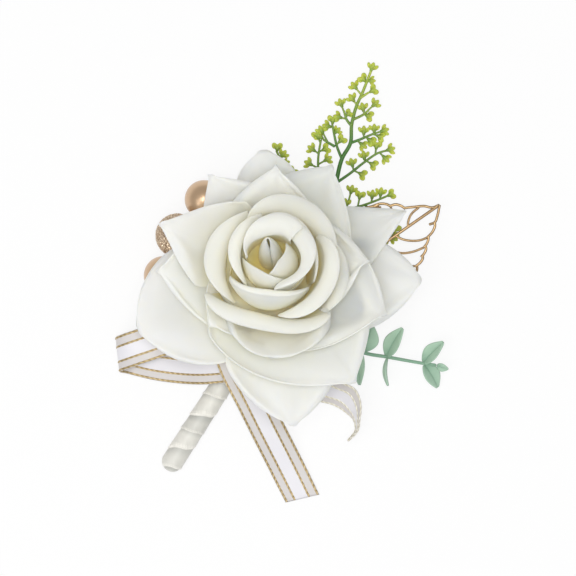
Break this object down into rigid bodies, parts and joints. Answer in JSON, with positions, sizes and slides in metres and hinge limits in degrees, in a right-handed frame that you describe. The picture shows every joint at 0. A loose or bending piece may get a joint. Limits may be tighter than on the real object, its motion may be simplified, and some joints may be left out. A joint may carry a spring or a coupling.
{
  "type": "wrist corsage",
  "caption": "Fabric rose corsage with beads, a glitter berry, a hollow metal leaf, fern and eucalyptus sprigs and a striped ribbon on a satin-wrapped handle.",
  "frame": {"origin": "on the flat back of the wrapped handle, just below the flower, in the plane the corsage lies on", "axes": "+Z out of the flower's face, away from the wearer; +Y towards the fern, along the corsage; +X towards the metal leaf"},
  "size_m": [0.0939, 0.1242, 0.0437],
  "materials": {
    "outer_petals": "soft matt flocked foam, white",
    "heart_petals": "soft matt flocked foam, ivory",
    "green_stem": "moulded green stem",
    "satin_wrap": "ivory satin tape",
    "pearl": "champagne pearl lacquer",
    "glitter": "champagne glitter",
    "gold_metal": "champagne gold",
    "fern": "green, yellow-green leaflets",
    "eucalyptus": "grey-green, powdery",
    "ribbon": "white satin with four gold stripes"
  },
  "bodies": {
    "root": {"centre_petal_left": "heart_petals", "centre_petal_right": "heart_petals", "bud_petal_left": "heart_petals", "bud_petal_right": "heart_petals", "bud_petal_top": "heart_petals", "heart_petal_front": "heart_petals", "heart_petal_right": "heart_petals", "heart_petal_top": "heart_petals", "inner_petal_left": "heart_petals", "inner_petal_bottom": "heart_petals", "inner_petal_right": "heart_petals", "inner_petal_top": "heart_petals", "cup_petal_left": "heart_petals", "cup_petal_bottom": "heart_petals", "cup_petal_right": "heart_petals", "cup_petal_top": "heart_petals", "middle_petal_right": "outer_petals", "middle_petal_top": "outer_petals", "middle_petal_left": "outer_petals", "middle_petal_left_lower": "outer_petals", "middle_petal_bottom": "outer_petals", "outer_petal_top": "outer_petals", "outer_petal_left_upper": "outer_petals", "outer_petal_left": "outer_petals", "outer_petal_bottom": "outer_petals", "outer_petal_right": "outer_petals", "guard_petal_right": "outer_petals", "guard_petal_right_upper": "outer_petals", "guard_petal_top": "outer_petals", "guard_petal_left_lower": "outer_petals", "guard_petal_bottom": "outer_petals", "rose_core": "green_stem", "rose_calyx": "green_stem", "stem_wrap": "satin_wrap", "rose_stem": "green_stem", "pearl_bead_lower": "pearl", "pearl_bead_lower_wire": "gold_metal", "glitter_berry": "glitter", "glitter_berry_wire": "gold_metal", "pearl_bead_upper": "pearl", "pearl_bead_upper_wire": "gold_metal", "metal_leaf": "gold_metal", "metal_leaf_wire": "gold_metal", "fern_sprig": "fern", "eucalyptus_stem": "eucalyptus", "eucalyptus_leaf_1_upper": "eucalyptus", "eucalyptus_leaf_1_lower": "eucalyptus", "eucalyptus_leaf_2_upper": "eucalyptus", "eucalyptus_leaf_2_lower": "eucalyptus", "eucalyptus_leaf_3_upper": "eucalyptus", "eucalyptus_leaf_3_lower": "eucalyptus", "eucalyptus_tip_bud": "eucalyptus", "ribbon_loop": "ribbon", "ribbon_tail_long": "ribbon", "ribbon_tail_curled": "ribbon", "ribbon_knot": "ribbon"}
  },
  "joints": []
}
